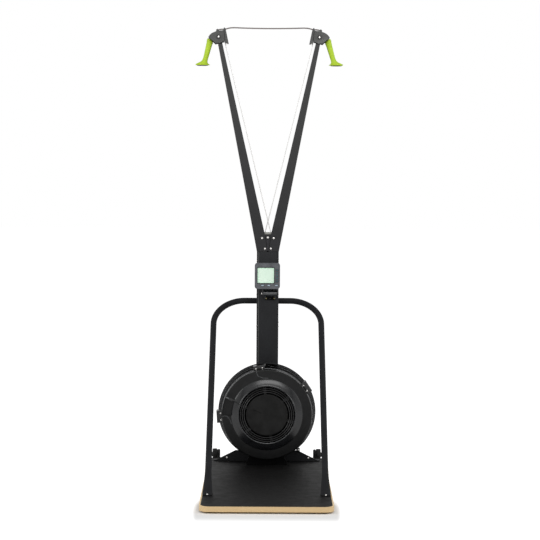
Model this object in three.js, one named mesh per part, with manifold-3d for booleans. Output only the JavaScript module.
// A ski trainer machine: a floor platform, a fan in a round housing at the foot of a column,
// two arms that open in a V, and a pull handle hanging from the pulley head on each arm.
// Millimetres. X is to the right, Y is away from the user, Z is up. The origin is on the
// floor under the middle of the machine's box. Inside this file each piece is placed from
// the front edge of the platform (Y = 0), and the whole group is moved back at the end.

import * as THREE from 'three';
import { mergeVertices } from 'three/addons/utils/BufferGeometryUtils.js';
import Module from 'manifold-3d';

const wasm = await Module();
wasm.setup();

// Driving dimensions

const clearance = 0.3;   // kept between two pieces that touch
const overrun = 6;       // how far a cut runs past the face it opens
const roundSides = 40;   // sides of a large round piece
const smallSides = 16;   // sides of a small round piece
const cordSides = 8;

const platform = {
  width: 600, depth: 1215, ply: 24.5, cornerRadius: 45,
  mat: 1.5, matSideInset: 7, matEndInset: 2,
};
const foot = { height: 8, radius: 17, topRadius: 14, sideInset: 45, endInset: 40 };
const fan = {
  rise: 37, behind: 7, screenDepth: 72, shellDepth: 70, wall: 3,
  shellRadius: 226, flatRing: 48, bevel: 35, bevelRise: 16, rimRadius: 10,
  screenFlare: 20, screenThickness: 1.5, rearThickness: 4,
  grilleSpan: 39, grilleDepth: 6, ringCount: 3, ringThickness: 2.6,
  ribPairs: 6, ribWidth: 2.4, ribPairGap: 4.6, grilleRing: 4, columnGap: 3,
};
const column = {
  width: 110, depth: 64, wall: 3, cornerRadius: 5, rearInset: 136, top: 1110,
  footDrop: 10,
};
const arm = {
  depth: 60, wall: 3, length: 1036, topWidth: 22, topInner: 232.5, closeRise: 36, halfGap: 4,
  solidFoot: 98,
};
const impeller = {
  inset: 20, disc: 2.5, hubRadius: 28, vaneCount: 12, vaneInner: 70, vane: 2.4, depth: 72,
};
const shaft = { radius: 8 };
const bearing = { radius: 16, width: 10 };
const drum = { grooveRadius: 20, flange: 4, width: 11, gap: 2 };
const cord = { radius: 2.4, topRadius: 2.7 };
const guide = {
  rise: 73, grooveRadius: 16.5, flange: 6.5, width: 10, behindFace: 17, bore: 5, gap: 2, room: 4,
};
const head = {
  out: 18.9, rise: 33.8, plate: 3, grooveRadius: 21.9, flange: 6, pulleyWidth: 14,
  axleRadius: 5, capRadius: 7.5, cap: 5, tongueRise: 7.8, tongueDrop: 70, span: 100,
};
const handle = {
  out: 43, drop: 16.3, leanDegrees: 14, length: 126, topTiltDegrees: 30,
};
const loop = {
  tube: 30, edgeInset: 30, footY: 248, behind: 23, topZ: 857, bend: 155, sides: 12,
  tab: 62, tabWidth: 46, tabThickness: 6, flare: 84,
};
const monitor = {
  width: 126, height: 130, ahead: 60, depth: 32, drop: 183, offset: -1.6, cornerRadius: 14,
  wall: 3, screenWidth: 82, screenHeight: 76, screenLeft: 14, screenTop: 24,
  screenThickness: 2, screenCorner: 4, windowCorner: 3,
};
const key = { width: 15, height: 7, proud: 2.5, flange: 2, rise: 18 };
const sideKey = { width: 12, height: 8, step: 13.6, inset: 15, topDrop: 36, count: 5 };
const hinge = {
  below: 25, setback: 30, radius: 14, stub: 5, halfWidth: 34, offset: 13, ear: 7, earMargin: 2,
};
const wheel = { radius: 30, width: 24, bore: 6, edgeInset: 31, centreZ: 44, edgeGap: 3 };
const gusset = { endInset: 30, topHalf: 159, height: 56, thickness: 6, flange: 34 };
const spine = { width: 84, depth: 24, wall: 4, belowLoop: 57 };
const cradle = { width: 204, lap: 5, behindShell: 6 };
const returnPulley = {
  drop: 47, groove: 7, flange: 11, width: 10, pin: 4, capRadius: 6.5, cap: 3, wallGap: 1.4,
};
const anchor = { rise: 52, radius: 4 };
const studs = { radius: 5, capRadius: 8, cap: 5, outX: 29.1, rise: 69 };
const guard = { rise: 11, footRise: 6, inset: 1, thickness: 3 };
const junction = { thickness: 7, drop: 90, rise: 82, bottomHalf: 46, topHalf: 63 };

// Places worked out from the driving dimensions

const columnRear = platform.depth - column.rearInset;
const columnFront = columnRear - column.depth;
const boardTop = foot.height + platform.ply;
const floorTop = boardTop + platform.mat;
const fanZ = floorTop + fan.rise + fan.shellRadius;
const bevelRadius = fan.shellRadius - fan.flatRing;
const mouthRadius = bevelRadius - fan.bevel;
const discRadius = mouthRadius - fan.grilleSpan;
const screenRearRadius = fan.shellRadius + fan.screenFlare;
const impellerRadius = fan.shellRadius - impeller.inset;
const columnBottom = fanZ + screenRearRadius + fan.columnGap;
const fanRear = columnRear - fan.behind;
const fanMid = fanRear - fan.screenDepth;
const fanFront = fanMid - fan.shellDepth;
const armFront = columnRear - arm.depth;
const armTop = column.top + arm.length;
const closeHeight = column.top + arm.closeRise;
const guideZ = column.top + guide.rise;
const guideFrontY = armFront + guide.behindFace;
const guideRearY = guideFrontY + guide.width + guide.gap;
const headX = arm.topInner + head.out;
const headZ = armTop + head.rise;
const headY = columnRear - arm.depth / 2;
const gripX = headX + handle.out;
const gripZ = headZ - handle.drop;
const loopHalf = platform.width / 2 - loop.edgeInset;
const loopTopY = columnRear + loop.behind;
const wheelX = platform.width / 2 - wheel.edgeInset;
const gussetHalf = platform.width / 2 - gusset.endInset;
const monitorFront = columnFront - monitor.ahead;
const monitorBottom = column.top - monitor.drop;
const hingeY = monitorFront + hinge.setback;
const hingeZ = monitorBottom - hinge.below;
const anchorZ = columnBottom + anchor.rise;
const spineTop = loop.topZ - spine.belowLoop;
const returnY = columnRear - column.wall - returnPulley.flange - returnPulley.wallGap;
const returnZ = column.top - returnPulley.drop;
const studZ = column.top + studs.rise;

// Colours and finishes

const finish = (color, roughness, metalness) => ({ color, roughness, metalness });
const blackSteel = finish(0x2f3032, 0.45, 0.4);
const greySteel = finish(0x3e3e41, 0.5, 0.3);
const blackPlastic = finish(0x27282a, 0.55, 0);
const greyPlastic = finish(0x3c3d3f, 0.5, 0);
const brightSteel = finish(0xb9bcc0, 0.25, 1);
const birchPly = finish(0xe1c29e, 0.6, 0);
const blackMat = finish(0x1c1b1a, 0.85, 0);
const blackRubber = finish(0x1a1a1b, 0.9, 0);
const limeGrip = finish(0xb3d241, 0.5, 0);
const cordGrey = finish(0x8d8a84, 0.8, 0);
const screenGlass = finish(0xb8c7a4, 0.2, 0);
const keyGrey = finish(0x9fb3bd, 0.5, 0);

// Shape helpers

const machine = new THREE.Group();

/** A position-only geometry with shared vertices and outward faces. */
function closed(source) {
  const bare = source.index ? source.toNonIndexed() : source.clone();
  bare.deleteAttribute('normal');
  bare.deleteAttribute('uv');
  const merged = mergeVertices(bare, 1e-4);
  const p = merged.attributes.position;
  const index = Array.from(merged.index.array);
  const kept = [];
  let volume = 0;
  for (let i = 0; i < index.length; i += 3) {
    const [a, b, c] = [index[i], index[i + 1], index[i + 2]];
    if (a === b || b === c || a === c) continue;
    kept.push(a, b, c);
    const [u, v, w] = [a, b, c].map((k) => new THREE.Vector3().fromBufferAttribute(p, k));
    volume += u.dot(v.cross(w));
  }
  if (volume < 0) {
    for (let i = 0; i < kept.length; i += 3) [kept[i + 1], kept[i + 2]] = [kept[i + 2], kept[i + 1]];
  }
  merged.setIndex(kept);
  return merged;
}

/** A closed geometry as a solid for joining and cutting. */
function solid(source) {
  const shape = closed(source);
  return new wasm.Manifold(new wasm.Mesh({
    numProp: 3,
    vertProperties: Float32Array.from(shape.attributes.position.array),
    triVerts: Uint32Array.from(shape.index.array),
  }));
}

/** A solid back as a geometry. */
function geometryOf(body) {
  const mesh = body.getMesh();
  const geometry = new THREE.BufferGeometry();
  const points = new Float32Array(mesh.numVert * 3);
  for (let i = 0; i < mesh.numVert; i += 1) {
    for (let k = 0; k < 3; k += 1) points[i * 3 + k] = mesh.vertProperties[i * mesh.numProp + k];
  }
  geometry.setAttribute('position', new THREE.BufferAttribute(points, 3));
  geometry.setIndex(Array.from(mesh.triVerts));
  return geometry;
}

const join = (first, ...rest) => rest.reduce((body, next) => body.add(next), first);
const cut = (first, ...rest) => rest.reduce((body, next) => body.subtract(next), first);

/** Puts one named piece in the machine. */
function piece(name, shape, look) {
  const geometry = shape.isBufferGeometry ? closed(shape) : geometryOf(shape);
  geometry.computeVertexNormals();
  const mesh = new THREE.Mesh(geometry, new THREE.MeshStandardMaterial(look));
  mesh.name = name;
  machine.add(mesh);
  return mesh;
}

/** A box between two corners. */
function block(x0, x1, y0, y1, z0, z1) {
  const box = new THREE.BoxGeometry(x1 - x0, y1 - y0, z1 - z0);
  return box.translate((x0 + x1) / 2, (y0 + y1) / 2, (z0 + z1) / 2);
}

/** A flat outline from points, each [across, up]. */
function outline(points) {
  return new THREE.Shape(points.map(([a, b]) => new THREE.Vector2(a, b)));
}

/** A rectangle with round corners about a centre. */
function roundedRectangle(width, height, radius, centreX = 0, centreY = 0) {
  const [w, h] = [width / 2, height / 2];
  const shape = new THREE.Shape();
  shape.moveTo(centreX - w + radius, centreY - h);
  shape.lineTo(centreX + w - radius, centreY - h);
  shape.absarc(centreX + w - radius, centreY - h + radius, radius, -Math.PI / 2, 0);
  shape.lineTo(centreX + w, centreY + h - radius);
  shape.absarc(centreX + w - radius, centreY + h - radius, radius, 0, Math.PI / 2);
  shape.lineTo(centreX - w + radius, centreY + h);
  shape.absarc(centreX - w + radius, centreY + h - radius, radius, Math.PI / 2, Math.PI);
  shape.lineTo(centreX - w, centreY - h + radius);
  shape.absarc(centreX - w + radius, centreY - h + radius, radius, Math.PI, Math.PI * 1.5);
  return shape;
}

/** An outline in X and Y, standing from z0 up to z1. */
function upright(shape, z0, z1, curveSegments = 4) {
  const options = { depth: z1 - z0, bevelEnabled: false, curveSegments };
  return new THREE.ExtrudeGeometry(shape, options).translate(0, 0, z0);
}

/** An outline in X and Z, from y0 back to y1. */
function panel(shape, y0, y1, curveSegments = 4) {
  const options = { depth: y1 - y0, bevelEnabled: false, curveSegments };
  return new THREE.ExtrudeGeometry(shape, options).rotateX(Math.PI / 2).translate(0, y1, 0);
}

/** An outline in Y and Z, from x0 across to x1. */
function slice(shape, x0, x1, curveSegments = 4) {
  const options = { depth: x1 - x0, bevelEnabled: false, curveSegments };
  const turn = new THREE.Matrix4().makeBasis(
    new THREE.Vector3(0, 1, 0), new THREE.Vector3(0, 0, 1), new THREE.Vector3(1, 0, 0));
  return new THREE.ExtrudeGeometry(shape, options).applyMatrix4(turn).translate(x0, 0, 0);
}

/** A round piece turned about a line through (x, z) along Y, from points [radius, y]. */
function turnedY(points, x, z, sides) {
  const profile = points.map(([r, y]) => new THREE.Vector2(r, y));
  return new THREE.LatheGeometry(profile, sides).translate(x, 0, z);
}

/** A round piece turned about a line through (y, z) along X, from points [radius, x]. */
function turnedX(points, y, z, sides) {
  const profile = points.map(([r, x]) => new THREE.Vector2(r, x));
  return new THREE.LatheGeometry(profile, sides).rotateZ(-Math.PI / 2).translate(0, y, z);
}

/** A round piece turned about an upright line through (x, y), from points [radius, z]. */
function turnedZ(points, x, y, sides) {
  const profile = points.map(([r, z]) => new THREE.Vector2(r, z));
  return new THREE.LatheGeometry(profile, sides).rotateX(Math.PI / 2).translate(x, y, 0);
}

const rodY = (radius, y0, y1, x, z, sides = smallSides) => turnedY(
  [[0, y0], [radius, y0], [radius, y1], [0, y1]], x, z, sides);
const rodX = (radius, x0, x1, y, z, sides = smallSides) => turnedX(
  [[0, x0], [radius, x0], [radius, x1], [0, x1]], y, z, sides);

/** A pulley about Y: a groove between two flanges, with a bore. */
function pulleyY(grooveRadius, flange, width, bore, x, y, z) {
  const [front, rear] = [y - width / 2, y + width / 2];
  const lip = width / 8;
  const half = cord.radius + clearance;
  const outer = grooveRadius + flange;
  return turnedY([
    [bore, front], [outer, front], [outer, front + lip], [grooveRadius, y - half],
    [grooveRadius, y + half], [outer, rear - lip], [outer, rear], [bore, rear], [bore, front],
  ], x, z, smallSides + 2);
}

/** A path whose rings sit exactly on the points given. */
class Route extends THREE.Curve {
  constructor(points) {
    super();
    this.points = points;
  }

  getPoint(t, target = new THREE.Vector3()) {
    const along = t * (this.points.length - 1);
    const from = Math.min(Math.floor(along), this.points.length - 2);
    return target.lerpVectors(this.points[from], this.points[from + 1], along - from);
  }

  getPointAt(t, target) {
    return this.getPoint(t, target);
  }

  getTangentAt(t, target) {
    return this.getTangent(t, target);
  }
}

/** A round tube or cord along points. */
function tubeAlong(points, radius, sides) {
  return new THREE.ExtrudeGeometry(
    outline(circlePoints(radius, sides)),
    { steps: points.length - 1, extrudePath: new Route(points) });
}

/** A closed body through rings of points, capped at both ends. */
function loft(rings) {
  const count = rings[0].length;
  const points = rings.flat().flatMap((p) => [p.x, p.y, p.z]);
  const faces = [];
  for (let row = 0; row < rings.length - 1; row += 1) {
    for (let k = 0; k < count; k += 1) {
      const [a, b] = [row * count + k, row * count + ((k + 1) % count)];
      faces.push(a, b, a + count, b, b + count, a + count);
    }
  }
  const last = (rings.length - 1) * count;
  for (let k = 1; k < count - 1; k += 1) {
    faces.push(0, k + 1, k);
    faces.push(last, last + k, last + k + 1);
  }
  const body = new THREE.BufferGeometry();
  body.setAttribute('position', new THREE.BufferAttribute(Float32Array.from(points), 3));
  body.setIndex(faces);
  return body;
}

/** Points round a circle, each [across, up]. */
function circlePoints(radius, sides, centreA = 0, centreB = 0) {
  return Array.from({ length: sides }, (_, i) => {
    const angle = (i / sides) * Math.PI * 2;
    return [centreA + radius * Math.cos(angle), centreB + radius * Math.sin(angle)];
  });
}

/** Points of an arc in the X and Z plane at depth y. */
function arcXZ(centreX, centreZ, radius, fromDegrees, toDegrees, count, y) {
  return Array.from({ length: count + 1 }, (_, i) => {
    const angle = THREE.MathUtils.degToRad(fromDegrees + ((toDegrees - fromDegrees) * i) / count);
    return new THREE.Vector3(
      centreX + radius * Math.cos(angle), y, centreZ + radius * Math.sin(angle));
  });
}

// The platform: a plywood board with a black mat, on four rubber feet

const midDepth = platform.depth / 2;

function makePlatform() {
  const board = roundedRectangle(
    platform.width, platform.depth, platform.cornerRadius, 0, midDepth);
  piece('platform_board', upright(board, foot.height + clearance, boardTop, 8), birchPly);
  const mat = roundedRectangle(
    platform.width - platform.matSideInset * 2, platform.depth - platform.matEndInset * 2,
    platform.cornerRadius - platform.matSideInset / 2, 0, midDepth);
  piece('platform_mat', upright(mat, boardTop + clearance, floorTop, 8), blackMat);
  const across = platform.width / 2 - foot.sideInset;
  const [front, rear] = [foot.endInset, platform.depth - foot.endInset];
  const corners = [
    ['front_left', -across, front], ['front_right', across, front],
    ['rear_left', -across, rear], ['rear_right', across, rear],
  ];
  for (const [place, x, y] of corners) {
    const profile = [[0, 0], [foot.radius, 0], [foot.topRadius, foot.height], [0, foot.height]];
    piece(`platform_foot_${place}`, turnedZ(profile, x, y, smallSides), blackRubber);
  }
}

// Transport wheels behind the rear edge, on stub axles of one carrier

const wheelY = platform.depth + wheel.edgeGap + wheel.radius;
const wheelInner = wheelX - wheel.width / 2;
const wheelOuter = wheelX + wheel.width / 2;

function makeWheels() {
  const stripThickness = wheel.edgeGap;
  const ear = wheel.bore;
  const earOuter = wheelInner - clearance * 4;
  const stripFront = platform.depth + clearance;
  const stripRear = platform.depth + stripThickness + ear;
  const earHeight = wheel.radius / 3;
  const parts = [solid(block(
    -earOuter, earOuter, stripFront, stripRear, foot.height + ear, boardTop))];
  for (const side of [-1, 1]) {
    const faces = [side * (earOuter - ear), side * earOuter].sort((a, b) => a - b);
    parts.push(solid(block(
      faces[0], faces[1], stripFront + ear / 2, wheelY + earHeight,
      foot.height + ear, wheel.centreZ + earHeight)));
    const stub = [side * (earOuter - ear / 2), side * (wheelOuter + ear)].sort((a, b) => a - b);
    parts.push(solid(rodX(wheel.bore, stub[0], stub[1], wheelY, wheel.centreZ)));
    const cap = [
      side * (wheelOuter + clearance), side * (wheelOuter + ear),
    ].sort((a, b) => a - b);
    parts.push(solid(rodX(wheel.bore * 2, cap[0], cap[1], wheelY, wheel.centreZ)));
  }
  piece('wheel_carrier', join(...parts), blackSteel);
  for (const [name, side] of [['left', -1], ['right', 1]]) {
    const x = side * wheelX;
    const [a, b] = [x - wheel.width / 2, x + wheel.width / 2];
    const edge = wheel.width / 9;
    const bore = wheel.bore + clearance;
    piece(`wheel_${name}`, turnedX([
      [bore, a], [wheel.radius - edge, a], [wheel.radius, a + edge], [wheel.radius, b - edge],
      [wheel.radius - edge, b], [bore, b], [bore, a],
    ], wheelY, wheel.centreZ, smallSides + 6), blackRubber);
  }
}

// The column, its cross-bolted return pulley and the spine that carries it down behind the fan

function makeColumn() {
  const centreY = columnFront + column.depth / 2;
  const outer = solid(upright(
    roundedRectangle(column.width, column.depth, column.cornerRadius, 0, centreY),
    columnBottom - column.footDrop, column.top));
  const inner = solid(upright(
    roundedRectangle(
      column.width - column.wall * 2, column.depth - column.wall * 2,
      column.cornerRadius - column.wall, 0, centreY),
    columnBottom - column.footDrop - overrun, column.top + overrun));
  const half = column.width / 2;
  const fanRoom = solid(rodY(
    screenRearRadius + fan.columnGap, columnFront - overrun, columnRear + overrun,
    0, fanZ, roundSides));
  const crossBore = solid(rodX(
    returnPulley.pin + clearance, -half - overrun, half + overrun,
    returnY, returnZ));
  const anchorBore = solid(rodY(
    anchor.radius + clearance, columnRear - column.wall * 2, columnRear + overrun,
    0, anchorZ));
  piece('column', cut(outer, inner, fanRoom, crossBore, anchorBore), blackSteel);
}

function makeReturnPulley() {
  const r = returnPulley;
  const half = column.width / 2;
  const reach = half + clearance;
  const [w, lip, groove] = [r.width / 2, r.width / 8, cord.radius + clearance];
  piece('return_pulley', turnedX([
    [0, -reach - r.cap], [r.capRadius * 0.7, -reach - r.cap], [r.capRadius, -reach],
    [r.pin, -reach], [r.pin, -w], [r.flange, -w], [r.flange, -w + lip], [r.groove, -groove],
    [r.groove, groove], [r.flange, w - lip], [r.flange, w], [r.pin, w], [r.pin, reach],
    [r.capRadius, reach], [r.capRadius * 0.7, reach + r.cap], [0, reach + r.cap],
  ], returnY, returnZ, smallSides), brightSteel);
}

function makeReturnCord() {
  const r = returnPulley;
  const reach = r.groove + cord.radius + clearance;
  const foot0 = anchorZ + anchor.radius + cord.radius + clearance;
  const over = Array.from({ length: 9 }, (_, i) => {
    const angle = Math.PI - (i / 8) * Math.PI;
    return new THREE.Vector3(
      0, returnY + reach * Math.cos(angle), returnZ + reach * Math.sin(angle));
  });
  const under = Array.from({ length: 7 }, (_, i) => {
    const angle = -(i / 8) * Math.PI;
    return new THREE.Vector3(
      0, returnY + reach * Math.cos(angle), foot0 + reach + reach * Math.sin(angle));
  });
  piece('return_cord', tubeAlong([...over, ...under], cord.radius, cordSides), cordGrey);
}

const spineFront = columnRear + clearance;
const spineRear = spineFront + spine.depth;

function makeSpine() {
  const half = spine.width / 2;
  const base = floorTop + clearance;
  const channel = cut(
    solid(block(-half, half, spineFront, spineRear, base, spineTop)),
    solid(block(
      -half + spine.wall, half - spine.wall, spineFront + spine.wall, spineRear + overrun,
      base + spine.wall, spineTop + overrun)));
  const pin = solid(rodY(
    anchor.radius, returnY - returnPulley.flange, spineFront + spine.wall,
    0, anchorZ));
  const shaftBore = solid(rodY(
    bearing.radius / 2, spineFront - overrun, spineFront + spine.wall + overrun,
    0, fanZ));
  piece('rear_spine', cut(join(channel, pin), shaftBore), greySteel);
}

function makeGusset() {
  const base = floorTop + clearance;
  const front = spineRear + clearance;
  const web = panel(outline([
    [-gussetHalf, base], [gussetHalf, base],
    [gusset.topHalf, base + gusset.height], [-gusset.topHalf, base + gusset.height],
  ]), front, front + gusset.thickness);
  const flange = block(
    -gussetHalf, gussetHalf, front, front + gusset.flange,
    base, base + gusset.thickness);
  piece('gusset_plate', join(solid(web), solid(flange)), blackSteel);
}

// The arms: tapered boxes, each open inside, with a channel for the cords at the foot

const armBottom = column.top + clearance;
const innerAt = (z) => Math.max(
  arm.halfGap, arm.topInner - (armTop - z) * (arm.topInner - arm.halfGap)
    / (armTop - closeHeight));
const outerAt = (z) => {
  const share = (z - armBottom) / (armTop - armBottom);
  const foot0 = column.width / 2;
  return foot0 + share * (arm.topInner + arm.topWidth - foot0);
};
const channelHalf = guide.grooveRadius + guide.flange + guide.room;
const channelFront = guideFrontY - guide.width / 2 - guide.gap;
const channelRear = guideRearY + guide.width / 2 + guide.gap;

function makeArm(name, side) {
  const shape = (inset, bottom, top) => {
    const heights = bottom < closeHeight ? [bottom, closeHeight, top] : [bottom, top];
    return outline([
      ...heights.map((z) => [side * (innerAt(z) + inset), z]),
      [side * (outerAt(top) - inset), top],
      [side * (outerAt(bottom) - inset), bottom],
    ]);
  };
  const outer = solid(panel(shape(0, armBottom, armTop), armFront, columnRear));
  const hollow = solid(panel(
    shape(arm.wall, closeHeight + arm.solidFoot, armTop + overrun),
    armFront + arm.wall, columnRear - arm.wall));
  const channel = solid(block(
    -channelHalf, channelHalf, channelFront, channelRear, armBottom - overrun, guideZ));
  const pocket = solid(rodY(channelHalf, channelFront, channelRear, 0, guideZ, 32));
  const studBore = solid(rodY(
    studs.radius + clearance, armFront - overrun, columnRear + overrun,
    side * studs.outX, studZ));
  piece(`arm_${name}`, cut(outer, hollow, channel, pocket, studBore), greySteel);
}

function makeJunction() {
  const front = columnRear + clearance;
  const junctionBottom = column.top - junction.drop;
  const junctionTop = column.top + junction.rise;
  const plate = solid(panel(outline([
    [-junction.bottomHalf, junctionBottom], [junction.bottomHalf, junctionBottom],
    [junction.topHalf, junctionTop], [-junction.topHalf, junctionTop],
  ]), front, front + junction.thickness));
  const capFront = armFront - clearance;
  const stud = (radius, x, z) => solid(turnedY([
    [0, capFront - studs.cap], [studs.capRadius * 0.6, capFront - studs.cap * 0.8],
    [studs.capRadius, capFront - studs.cap * 0.2], [studs.capRadius, capFront],
    [radius, capFront], [radius, front + junction.thickness / 2],
    [0, front + junction.thickness / 2],
  ], x, z, smallSides));
  const top = guideZ + guard.rise;
  const bottom = column.top + guard.footRise;
  const guardPlate = solid(panel(outline([
    [-innerAt(bottom) + clearance, bottom], [innerAt(bottom) - clearance, bottom],
    [innerAt(closeHeight) - clearance, closeHeight], [innerAt(top) - clearance, top],
    [-innerAt(top) + clearance, top], [-innerAt(closeHeight) + clearance, closeHeight],
  ]), armFront + guard.inset, armFront + guard.inset + guard.thickness));
  piece('junction_plate', join(
    plate, guardPlate, stud(studs.radius, -studs.outX, studZ), stud(studs.radius, studs.outX, studZ),
    stud(guide.bore, 0, guideZ)), greySteel);
  for (const [name, y] of [['front', guideFrontY], ['rear', guideRearY]]) {
    piece(`guide_pulley_${name}`, pulleyY(
      guide.grooveRadius, guide.flange, guide.width, guide.bore + clearance, 0, y, guideZ,
    ), greyPlastic);
  }
}

// The fan: a dished front shell, a grille, a perforated cone round the fan wheel and a rear
// housing whose bearing carries the shaft

const shellInner = fan.shellRadius - fan.wall;
const ringFace = fanFront + fan.bevelRise;

function makeShell() {
  const { wall, rimRadius } = fan;
  const [b, m] = [bevelRadius, mouthRadius];
  const [f, r] = [fanFront, fanMid];
  const rim = Array.from({ length: 5 }, (_, i) => {
    const angle = (i / 4) * (Math.PI / 2);
    return [
      fan.shellRadius - rimRadius + rimRadius * Math.sin(angle),
      ringFace + rimRadius - rimRadius * Math.cos(angle)];
  });
  piece('fan_front_shell', turnedY([
    [m, f + wall * 3], [m, f + wall], [m + wall, f], [b, ringFace], ...rim,
    [fan.shellRadius, r], [shellInner, r], [shellInner, ringFace + rimRadius],
    [fan.shellRadius - rimRadius, ringFace + wall], [b - wall, ringFace + wall],
    [m + wall, f + wall * 1.4], [m + wall, f + wall * 3], [m, f + wall * 3],
  ], 0, fanZ, roundSides), greyPlastic);
}

function makeGrille() {
  const outer = mouthRadius - clearance;
  const inner = outer - fan.grilleRing;
  const front = fanFront + fan.wall;
  const rear = front + fan.grilleDepth;
  const band = (r0, r1, y0, y1) => solid(turnedY(
    [[r0, y0], [r1, y0], [r1, y1], [r0, y1], [r0, y0]], 0, fanZ, roundSides));
  const hub = solid(turnedY([
    [0, front], [discRadius * 0.93, front], [discRadius, front + fan.wall],
    [discRadius, rear], [shaft.radius + clearance * 4, rear],
    [shaft.radius + clearance * 4, rear - fan.wall], [0, rear - fan.wall],
  ], 0, fanZ, roundSides));
  const parts = [hub, band(inner, outer, front, rear)];
  for (let i = 1; i <= fan.ringCount; i += 1) {
    const at = discRadius + ((inner - discRadius) * i) / (fan.ringCount + 1);
    parts.push(band(
      at - fan.ringThickness / 2, at + fan.ringThickness / 2,
      front + fan.ringThickness, rear - fan.ringThickness));
  }
  const firstRibDegrees = 95;
  for (let i = 0; i < fan.ribPairs; i += 1) {
    const turn = THREE.MathUtils.degToRad(firstRibDegrees - (i * 360) / fan.ribPairs);
    for (const shift of [-1, 1]) {
      const at = (shift * fan.ribPairGap) / 2;
      const rib = block(
        discRadius - fan.wall, inner + fan.wall / 2, front + fan.ringThickness, rear,
        at - fan.ribWidth / 2, at + fan.ribWidth / 2);
      parts.push(solid(rib.rotateY(-turn).translate(0, 0, fanZ)));
    }
  }
  piece('fan_grille', join(...parts), blackPlastic);
}

/** A wedge about the fan's axis, between two angles, as a cutter. */
function fanWedge(fromDegrees, toDegrees, y0, y1) {
  const reach = screenRearRadius * 2;
  const points = [[0, fanZ]];
  const steps = 4;
  for (let i = 0; i <= steps; i += 1) {
    const angle = THREE.MathUtils.degToRad(fromDegrees + ((toDegrees - fromDegrees) * i) / steps);
    points.push([reach * Math.cos(angle), fanZ + reach * Math.sin(angle)]);
  }
  return solid(panel(outline(points), y0, y1));
}

const screenFrontRadius = fan.shellRadius + clearance * 2;
const cordGapDegrees = 10;

function makeScreen() {
  const [a, b] = [fanMid + clearance, fanRear - clearance];
  const t = fan.screenThickness;
  const cone = solid(turnedY([
    [screenFrontRadius - t, a], [screenFrontRadius, a], [screenRearRadius, b],
    [screenRearRadius - t, b], [screenFrontRadius - t, a],
  ], 0, fanZ, roundSides));
  const gap = fanWedge(90 - cordGapDegrees, 90 + cordGapDegrees, a - overrun, b + overrun);
  piece('fan_screen', cut(cone, gap), blackSteel);
}

function makeRearHousing() {
  const [front, rear] = [fanRear, fanRear + fan.rearThickness];
  const rim = screenRearRadius;
  const lip = fan.rearThickness * 2;
  const boss = bearing.radius + fan.rearThickness;
  const bore = bearing.radius + clearance;
  const inner = rim - fan.screenThickness - clearance;
  piece('fan_rear_housing', turnedY([
    [bore, front - fan.wall], [boss, front - fan.wall], [boss, front], [inner - lip, front],
    [inner - lip, front - lip], [inner - lip / 2, front - lip], [inner - clearance, front],
    [rim, front], [rim, rear], [boss, rear], [bore, rear],
    [bore, front - fan.wall],
  ], 0, fanZ, roundSides), blackPlastic);
  const ringFront = rear - bearing.width / 2 - fan.wall;
  piece('fan_bearing', turnedY([
    [shaft.radius + clearance, ringFront], [bearing.radius, ringFront],
    [bearing.radius, rear], [shaft.radius + clearance, rear],
    [shaft.radius + clearance, ringFront],
  ], 0, fanZ, smallSides + 2), brightSteel);
}

const drumRearY = fanRear - fan.wall - drum.gap - drum.width / 2;
const drumFrontY = drumRearY - drum.width - drum.gap / 2;
const impellerRear = drumFrontY - drum.width / 2 - drum.gap;

function makeRotor() {
  const shaftFront = fanFront + fan.wall + fan.grilleDepth - fan.wall + clearance;
  const shaftRear = fanRear + fan.rearThickness;
  piece('fan_shaft', rodY(shaft.radius, shaftFront, shaftRear, 0, fanZ), brightSteel);
  const front = impellerRear - impeller.depth;
  const bore = shaft.radius + clearance;
  const disc = solid(turnedY([
    [bore, front], [impeller.hubRadius, front],
    [impeller.hubRadius, impellerRear - impeller.disc],
    [impellerRadius, impellerRear - impeller.disc], [impellerRadius, impellerRear],
    [bore, impellerRear], [bore, front],
  ], 0, fanZ, roundSides));
  const vanes = [];
  for (let i = 0; i < impeller.vaneCount; i += 1) {
    const vane = block(
      impeller.vaneInner, impellerRadius, front, impellerRear - impeller.disc / 2,
      -impeller.vane / 2, impeller.vane / 2);
    const turn = (i / impeller.vaneCount) * Math.PI * 2;
    vanes.push(solid(vane.rotateY(-turn).translate(0, 0, fanZ)));
  }
  piece('fan_impeller', join(disc, ...vanes), blackPlastic);
  for (const [name, y] of [['front', drumFrontY], ['rear', drumRearY]]) {
    piece(`drive_drum_${name}`, pulleyY(
      drum.grooveRadius, drum.flange, drum.width, shaft.radius + clearance, 0, y, fanZ,
    ), greyPlastic);
  }
}

const lever = { ring: 7, thickness: 4.5, width: 9, degrees: 157, tipGap: 15 };

function makeDamper() {
  const rear = ringFace - clearance;
  const front = rear - lever.thickness;
  const inner = bevelRadius + clearance * 2;
  const ring = solid(turnedY([
    [inner, front], [inner + lever.ring, front], [inner + lever.ring, rear], [inner, rear],
    [inner, front],
  ], 0, fanZ, roundSides));
  const bar = block(
    inner + lever.ring / 2, fan.shellRadius - lever.tipGap, front - lever.thickness / 2, rear,
    -lever.width / 2, lever.width / 2);
  const turn = THREE.MathUtils.degToRad(lever.degrees);
  piece('damper_lever', join(
    ring, solid(bar.rotateY(-turn).translate(0, 0, fanZ))), blackPlastic);
}

const clipSize = {
  front: fanMid - 15, rear: fanMid + 35, topWidth: 56, sideWidth: 62, topHeight: 20, height: 27,
};
const clips = [
  ['top', 100, clipSize.topWidth, clipSize.topHeight],
  ['right', 34, clipSize.sideWidth, clipSize.height],
  ['left', 184, clipSize.sideWidth, clipSize.height],
];

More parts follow.
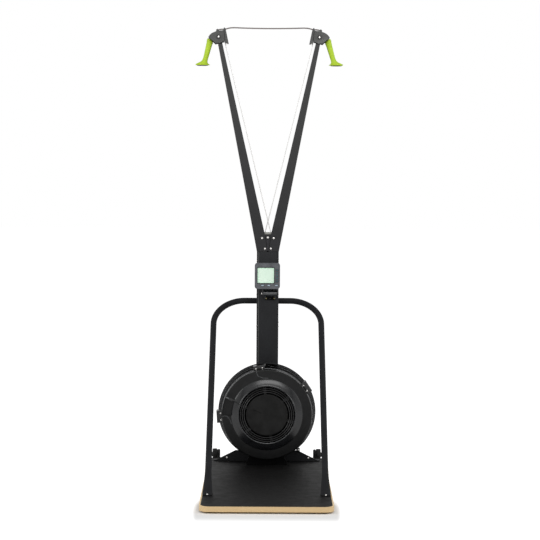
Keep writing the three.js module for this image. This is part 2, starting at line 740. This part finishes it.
function makeClips() {
  const shellKeep = turnedY([
    [0, clipSize.front - overrun], [fan.shellRadius + clearance, clipSize.front - overrun],
    [fan.shellRadius + clearance, fanMid], [screenFrontRadius + clearance, fanMid],
    [screenRearRadius + clearance, fanRear], [0, fanRear],
  ], 0, fanZ, roundSides);
  for (const [name, degrees, width, height] of clips) {
    const blank = block(
      fan.shellRadius - overrun, fan.shellRadius + height, clipSize.front, clipSize.rear,
      -width / 2, width / 2);
    const turn = THREE.MathUtils.degToRad(degrees);
    const body = solid(blank.rotateY(-turn).translate(0, 0, fanZ));
    piece(`fan_clip_${name}`, cut(body, solid(shellKeep)), blackPlastic);
  }
}

function makeCradle() {
  const half = cradle.width / 2;
  const cradleTop = fanZ - fan.shellRadius + cradle.lap;
  const cradleFront = fanMid + cradle.behindShell;
  const base = floorTop + clearance;
  const rear = columnRear - clearance;
  const blank = panel(outline([
    [-half, base], [half, base], [half * 0.96, base + foot.height * 2.6],
    [half * 0.86, cradleTop], [-half * 0.86, cradleTop], [-half * 0.96, base + foot.height * 2.6],
  ]), cradleFront, rear);
  const keep = turnedY([
    [0, cradleFront - overrun], [screenFrontRadius + clearance * 2, cradleFront - overrun],
    [screenFrontRadius + clearance * 2, fanMid],
    [screenRearRadius + clearance, fanRear - clearance],
    [screenRearRadius + clearance, rear + overrun], [0, rear + overrun],
  ], 0, fanZ, roundSides);
  piece('fan_cradle', cut(solid(blank), solid(keep)), greySteel);
}

// The pulley heads: a folded bracket of two cheeks and a strap, a pulley and its cross bolt

const cheekFront = armFront - clearance;
const cheekRear = columnRear + clearance;
const strapShares = [[-0.348, 0.413], [-0.497, -0.299]];
const cheekShares = [
  [-0.348, 0.413], [-0.285, 0.475], [-0.255, 0.43], [-0.243, 0.334], [-0.02, 0.31],
  [-0.005, 0.374], [0.118, 0.374], [0.118, 0.281], [0.214, 0.246], [0.337, 0.188],
  [0.425, 0.114], [0.496, 0.018], [0.499, -0.026], [0.135, -0.316], [0.02, -0.29],
  [-0.05, -0.32], [-0.181, -0.237], [-0.313, -0.202], [-0.345, -0.299], [-0.497, -0.299],
];
const strapLean = (strapShares[0][0] - strapShares[1][0]) / (strapShares[0][1] - strapShares[1][1]);

function makeHead(name, side) {
  const place = ([a, b]) => [side * (headX + a * head.span), headZ + b * head.span];
  const cheek = outline(cheekShares.map(place));
  const front = solid(panel(cheek, cheekFront - head.plate, cheekFront));
  const rear = solid(panel(cheek, cheekRear, cheekRear + head.plate));
  const [top, bottom] = strapShares.map(place);
  const strap = solid(panel(outline([
    bottom, top, [top[0] + side * head.plate, top[1]], [bottom[0] + side * head.plate, bottom[1]],
  ]), cheekFront - head.plate, cheekRear + head.plate));
  const tongueTop = armTop + head.tongueRise;
  const tongue = solid(panel(outline([
    [side * innerAt(tongueTop), tongueTop], [side * outerAt(tongueTop), tongueTop],
    [side * outerAt(tongueTop - head.tongueDrop), tongueTop - head.tongueDrop],
    [side * innerAt(tongueTop - head.tongueDrop), tongueTop - head.tongueDrop],
  ]), cheekRear, cheekRear + head.plate));
  const bore = solid(rodY(
    head.axleRadius + clearance, cheekFront - overrun, cheekRear + overrun,
    side * headX, headZ));
  piece(`head_bracket_${name}`, cut(join(front, rear, strap, tongue), bore), greySteel);

  const capFace = cheekFront - head.plate - clearance;
  const nutFace = cheekRear + head.plate + clearance;
  piece(`head_axle_${name}`, turnedY([
    [0, capFace - head.cap], [head.capRadius * 0.6, capFace - head.cap * 0.85],
    [head.capRadius, capFace - head.cap * 0.2], [head.capRadius, capFace],
    [head.axleRadius, capFace], [head.axleRadius, nutFace], [head.capRadius, nutFace],
    [head.capRadius, nutFace + head.cap], [0, nutFace + head.cap],
  ], side * headX, headZ, smallSides), brightSteel);
  piece(`head_pulley_${name}`, pulleyY(
    head.grooveRadius, head.flange, head.pulleyWidth, head.axleRadius + clearance,
    side * headX, headY, headZ), greyPlastic);
}

// The pull handles: a grip that narrows to a neck and flares to a wide level foot.
// Each row is a share of the handle's length, then its half width, half depth, tilt and
// outward shift as shares of the widest half width, the widest half depth and the top tilt.

const gripSize = { halfWidth: 36, halfDepth: 22, shift: 7, sides: 16 };
const gripShares = [
  [0, 0.46, 0.64, 1, 0], [0.015, 0.48, 0.68, 1, 0], [0.1, 0.43, 0.62, 0.9, 0],
  [0.25, 0.4, 0.58, 0.7, 0], [0.45, 0.375, 0.55, 0.5, 0], [0.65, 0.35, 0.52, 0.4, 0],
  [0.78, 0.35, 0.52, 0.3, 0.1], [0.86, 0.44, 0.58, 0.25, 0.4], [0.91, 0.68, 0.74, 0.2, 0.8],
  [0.95, 0.92, 0.92, 0.12, 1], [0.975, 1, 1, 0.05, 1], [0.99, 0.97, 0.97, 0, 1],
  [1, 0.84, 0.84, 0, 1],
];
const lean = THREE.MathUtils.degToRad(handle.leanDegrees);
const topTilt = THREE.MathUtils.degToRad(handle.topTiltDegrees);

function makeHandle(name, side) {
  const points = [];
  const ringCount = gripShares.length;
  const n = gripSize.sides;
  for (const [along, widthShare, depthShare, tiltShare, shiftShare] of gripShares) {
    const s = along * handle.length;
    const tilt = tiltShare * topTilt;
    const centreX = gripX + s * Math.sin(lean) + shiftShare * gripSize.shift;
    const centreZ = gripZ - s * Math.cos(lean);
    for (let k = 0; k < n; k += 1) {
      const angle = (k / n) * Math.PI * 2;
      const out = widthShare * gripSize.halfWidth * Math.cos(angle);
      const back = depthShare * gripSize.halfDepth * Math.sin(angle);
      points.push(
        side * (centreX + out * Math.cos(tilt)), headY + back, centreZ + out * Math.sin(tilt));
    }
  }
  const faces = [];
  for (let row = 0; row < ringCount - 1; row += 1) {
    for (let k = 0; k < n; k += 1) {
      const [a, b] = [row * n + k, row * n + ((k + 1) % n)];
      faces.push(a, a + n, b, b, a + n, b + n);
    }
  }
  for (let k = 1; k < n - 1; k += 1) {
    faces.push(0, k, k + 1);
    const last = (ringCount - 1) * n;
    faces.push(last, last + k + 1, last + k);
  }
  const grip = new THREE.BufferGeometry();
  grip.setAttribute('position', new THREE.BufferAttribute(Float32Array.from(points), 3));
  grip.setIndex(faces);
  piece(`handle_grip_${name}`, grip, limeGrip);
}

// The cords: over each head pulley, crossing at the foot of the V, round a guide pulley and
// down the column to a drum on the fan's shaft

const overHead = head.grooveRadius + cord.radius + clearance;
const overGuide = guide.grooveRadius + cord.radius + clearance;
const overDrum = drum.grooveRadius + cord.radius + clearance;
const gripAway = Math.hypot(handle.out, handle.drop);
const exitDegrees = THREE.MathUtils.radToDeg(
  Math.acos(overHead / gripAway) - Math.atan2(handle.drop, handle.out));
const cordRise = Math.hypot(headX, headZ - guideZ);
const leaveDegrees = 180 - THREE.MathUtils.radToDeg(
  Math.atan2(headX, headZ - guideZ)
    - Math.asin((overHead - overGuide) / cordRise));

/** Mirrors points across the machine's middle. */
const mirrored = (points, side) => points.map((p) => new THREE.Vector3(side * p.x, p.y, p.z));

function makeCords(name, side, guideY, drumY) {
  const over = arcXZ(headX, headZ, overHead, exitDegrees, leaveDegrees, 12, headY);
  const round = arcXZ(0, guideZ, overGuide, leaveDegrees, 180, 2, guideY);
  const headPart = mirrored([...over, ...round], side);
  const under = arcXZ(0, fanZ, overDrum, 180, 260, 6, drumY);
  piece(`drive_cord_${name}`, tubeAlong([...headPart, ...under], cord.radius, cordSides), cordGrey);

  const start = over[0];
  const end = new THREE.Vector3(gripX, headY, gripZ);
  const toHandle = end.clone().sub(start);
  const reach = toHandle.length();
  const from = start.clone().addScaledVector(toHandle, (clearance * 2) / reach);
  const cordLean = Math.atan2(toHandle.x, -toHandle.z);
  const endGap = clearance + cord.radius * Math.abs(Math.sin(topTilt - cordLean));
  const to = start.clone().addScaledVector(toHandle, 1 - endGap / reach);
  piece(`handle_cord_${name}`, tubeAlong(
    mirrored([from, from.clone().lerp(to, 0.5), to], side), cord.radius, cordSides), cordGrey);
}

const topCordShares = [
  [-1, 0], [-0.92, 0.72], [-0.86, 1], [-0.6, 0.78], [-0.3, 0.6], [0, 0.54], [0.3, 0.6],
  [0.6, 0.78], [0.86, 1], [0.92, 0.72], [1, 0],
];
const topCord = { rise: 8, drop: 0 };

function makeTopCord() {
  const strapTopX = headX + strapShares[0][0] * head.span;
  const strapTopZ = headZ + strapShares[0][1] * head.span;
  const base = strapTopZ - topCord.drop;
  const half = strapTopX - topCord.drop * strapLean - clearance * 2;
  const points = topCordShares.map(([a, b]) => new THREE.Vector3(
    a * half, headY, base + b * topCord.rise));
  piece('top_cord', tubeAlong(points, cord.topRadius, cordSides), cordGrey);
}

// The side loop: one bent tube, bolted to the platform by its two flattened feet. Each row
// of the flare is a share of its height, then its width and depth as shares of the tube.

const flareShares = [
  [-0.06, 1.52, 1.1], [0.1, 1.46, 1.05], [0.35, 1.25, 1.02], [0.65, 1.08, 1.01],
  [1, 0.98, 0.98],
];

function makeLoop() {
  const rise = loop.topZ - floorTop;
  const run = loopTopY - loop.footY;
  const slope = Math.hypot(rise, run);
  const at = (x, along) => new THREE.Vector3(
    x, loop.footY + (run * along) / slope, floorTop + (rise * along) / slope);
  const corner = (side, from, to) => Array.from({ length: 9 }, (_, i) => {
    const angle = THREE.MathUtils.degToRad(from + ((to - from) * i) / 8);
    return at(
      side * (loopHalf - loop.bend) + loop.bend * Math.cos(angle),
      slope - loop.bend + loop.bend * Math.sin(angle));
  });
  const lowEnd = -loop.tube / 2;
  const path = [
    at(-loopHalf, lowEnd), ...corner(-1, 180, 90), ...corner(1, 90, 0),
    at(loopHalf, lowEnd),
  ];
  const tube = solid(tubeAlong(path, loop.tube / 2, loop.sides));
  const base = floorTop + clearance;
  const flare = (side) => {
    const rows = flareShares.map(([along, wide, deep]) => {
      const centre = at(side * loopHalf, along * loop.flare);
      return circlePoints(1, loop.sides).map(([a, b]) => new THREE.Vector3(
        centre.x + (a * wide * loop.tube) / 2, centre.y + (b * deep * loop.tube) / 2, centre.z));
    });
    return solid(loft(rows));
  };
  const reach = loopHalf + loop.tube * 2;
  const below = solid(block(
    -reach, reach, loop.footY - reach, loop.footY + reach, base - loop.tube * 4, base));
  const tabs = [-1, 1].map((side) => {
    const x = side * loopHalf;
    const shape = roundedRectangle(
      loop.tabWidth, loop.tab, loop.tabWidth / 3, x, loop.footY + loop.tab / 6);
    return solid(upright(shape, base, base + loop.tabThickness));
  });
  piece('side_loop', join(cut(join(tube, flare(-1), flare(1)), below), ...tabs), blackSteel);

  const half = loop.tube;
  const front = columnRear + clearance;
  const grip = loop.tube / 2 + clearance;
  const wrap = grip + loop.tabThickness;
  const saddle = solid(block(
    -half, half, front, loopTopY + wrap, loop.topZ - wrap, loop.topZ + wrap));
  const bore = solid(rodX(grip, -half - overrun, half + overrun, loopTopY, loop.topZ, 24));
  piece('loop_clamp', cut(saddle, bore), greySteel);
}

// The monitor: two case shells, a screen, eight keys and a tilting bracket on the column

const monitorTop = monitorBottom + monitor.height;
const monitorMidZ = monitorBottom + monitor.height / 2;
const splitY = monitorFront + monitor.depth * 0.38;
const monitorRear = monitorFront + monitor.depth;
const keyWallRear = monitorFront + monitor.wall;
const screenX = monitor.offset - monitor.width / 2 + monitor.screenLeft + monitor.screenWidth / 2;
const screenZ = monitorTop - monitor.screenTop - monitor.screenHeight / 2;
const bottomKeyShares = [-0.186, 0.056, 0.358];
const bottomKeyZ = monitorBottom + key.rise;
const sideKeyX = monitor.offset + monitor.width / 2 - sideKey.inset;

/** The centres and sizes of all the keys, each [name, x, z, width, height]. */
function keyPlaces() {
  const low = bottomKeyShares.map((share, i) => [
    `key_bottom_${i + 1}`, monitor.offset + share * monitor.width, bottomKeyZ,
    key.width, key.height]);
  const side = Array.from({ length: sideKey.count }, (_, i) => [
    `key_side_${i + 1}`, sideKeyX, monitorTop - sideKey.topDrop - i * sideKey.step,
    sideKey.width, sideKey.height]);
  return [...low, ...side];
}

function makeMonitor() {
  const face = (shrink, y0, y1) => solid(panel(roundedRectangle(
    monitor.width - shrink * 2, monitor.height - shrink * 2, monitor.cornerRadius - shrink,
    monitor.offset, monitorMidZ), y0, y1));
  const window = solid(panel(
    roundedRectangle(
      monitor.screenWidth, monitor.screenHeight, monitor.windowCorner, screenX, screenZ),
    monitorFront - overrun, splitY));
  const keyHoles = keyPlaces().map(([, x, z, w, h]) => solid(block(
    x - w / 2 - clearance, x + w / 2 + clearance, monitorFront - overrun, splitY,
    z - h / 2 - clearance, z + h / 2 + clearance)));
  piece('monitor_case_front', cut(
    face(0, monitorFront, splitY), face(monitor.wall, keyWallRear, splitY + overrun),
    window, ...keyHoles), greyPlastic);

  const earOuter = hinge.halfWidth + clearance + hinge.ear;
  const earInner = hinge.halfWidth + clearance;
  const ears = [-1, 1].map((side) => {
    const [a, b] = [
      hinge.offset + side * earInner, hinge.offset + side * earOuter].sort((p, q) => p - q);
    const arc = circlePoints(hinge.radius - hinge.earMargin, smallSides, hingeY, hingeZ)
      .filter(([, up]) => up <= hingeZ + hinge.earMargin / 2);
    const first = arc.sort((p, q) => p[0] - q[0]);
    return solid(slice(outline([
      ...first, [monitorRear, monitorBottom + monitor.wall * 2],
      [monitorRear - hinge.radius * 1.4, monitorBottom + monitor.wall * 2],
    ]), a, b));
  });
  const earBore = solid(rodX(
    hinge.stub + clearance, hinge.offset - earOuter - overrun, hinge.offset + earOuter + overrun,
    hingeY, hingeZ));
  piece('monitor_case_back', cut(join(cut(
    face(0, splitY + clearance, monitorRear),
    face(monitor.wall, splitY - overrun, monitorRear - monitor.wall)), ...ears), earBore),
  blackPlastic);

  piece('monitor_screen', panel(roundedRectangle(
    monitor.screenWidth + monitor.wall, monitor.screenHeight + monitor.wall,
    monitor.screenCorner,
    screenX, screenZ), keyWallRear + clearance,
  keyWallRear + clearance + monitor.screenThickness), screenGlass);

  const flangeFront = keyWallRear + clearance;
  for (const [name, x, z, w, h] of keyPlaces()) {
    const cap = solid(block(
      x - w / 2, x + w / 2, monitorFront - key.proud, flangeFront + key.flange,
      z - h / 2, z + h / 2));
    const lip = key.flange;
    const flange = solid(block(
      x - w / 2 - lip, x + w / 2 + lip, flangeFront, flangeFront + key.flange,
      z - h / 2 - lip, z + h / 2 + lip));
    piece(name, join(cap, flange), keyGrey);
  }

  const barrel = solid(rodX(
    hinge.radius, hinge.offset - hinge.halfWidth, hinge.offset + hinge.halfWidth,
    hingeY, hingeZ, 24));
  const stub = solid(rodX(
    hinge.stub, hinge.offset - earOuter - clearance, hinge.offset + earOuter + clearance,
    hingeY, hingeZ));
  const plateRear = columnFront - clearance;
  const halfNeck = hinge.halfWidth * 0.6;
  const neck = solid(block(
    hinge.offset - halfNeck, hinge.offset + halfNeck, hingeY, plateRear,
    hingeZ - hinge.radius * 0.7, hingeZ + hinge.radius * 0.7));
  const halfPlate = hinge.halfWidth - hinge.ear;
  const plate = solid(block(
    hinge.offset - halfPlate, hinge.offset + halfPlate, plateRear - hinge.stub, plateRear,
    hingeZ - hinge.radius * 2.4, hingeZ + hinge.radius));
  piece('monitor_arm', join(barrel, stub, neck, plate), greySteel);
}

makePlatform();
makeWheels();
makeColumn();
makeReturnPulley();
makeReturnCord();
makeSpine();
makeGusset();
makeCradle();
makeJunction();
makeShell();
makeGrille();
makeScreen();
makeRearHousing();
makeRotor();
makeDamper();
makeClips();
makeLoop();
makeTopCord();
makeMonitor();
for (const [name, side, guideY, drumY] of [
  ['left', -1, guideFrontY, drumFrontY], ['right', 1, guideRearY, drumRearY],
]) {
  makeArm(name, side);
  makeHead(name, side);
  makeHandle(name, side);
  makeCords(name, side, guideY, drumY);
}

machine.position.y = -(wheelY + wheel.radius) / 2;

export default machine;
